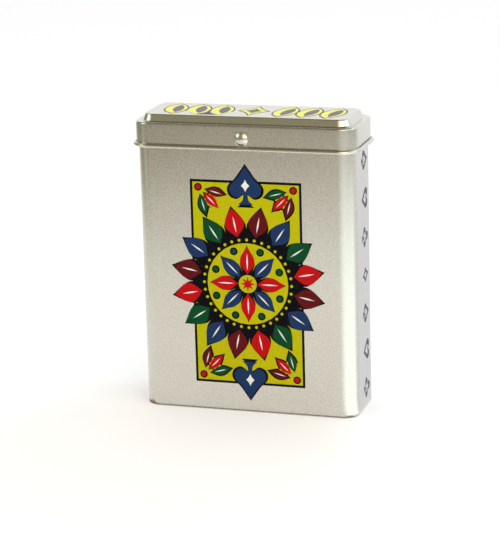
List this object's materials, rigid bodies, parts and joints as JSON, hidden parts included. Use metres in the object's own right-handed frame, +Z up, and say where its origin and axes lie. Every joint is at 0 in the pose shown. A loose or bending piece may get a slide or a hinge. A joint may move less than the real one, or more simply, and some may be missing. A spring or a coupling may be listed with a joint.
{
  "type": "hinged card tin",
  "caption": "Upright tinplate box for a card deck, with rounded corners and a stepped lid that swings back on a wire hinge.",
  "frame": {"origin": "on the ground under the middle of the body, lid closed", "axes": "+Z up, +X to the right seen from the front, -Y towards the front face with the catch dimple, hinge along X at the back"},
  "size_m": [0.0704, 0.0262, 0.0908],
  "materials": {
    "tinplate": "satin tinplate, printed and clear-lacquered outside, bare and lacquered inside",
    "steel_wire": "drawn bright steel wire"
  },
  "bodies": {
    "tin_body": {"body_wall": "tinplate", "bottom_panel": "tinplate", "hinge_wire": "steel_wire"},
    "lid": {"lid_shell": "tinplate"}
  },
  "joints": [
    {"name": "lid_hinge", "type": "hinge", "parent": "tin_body", "child": "lid", "pos_m": [0, 0.01252, 0.08173], "axis": [-1, 0, 0], "range_deg": [0, 190]}
  ]
}
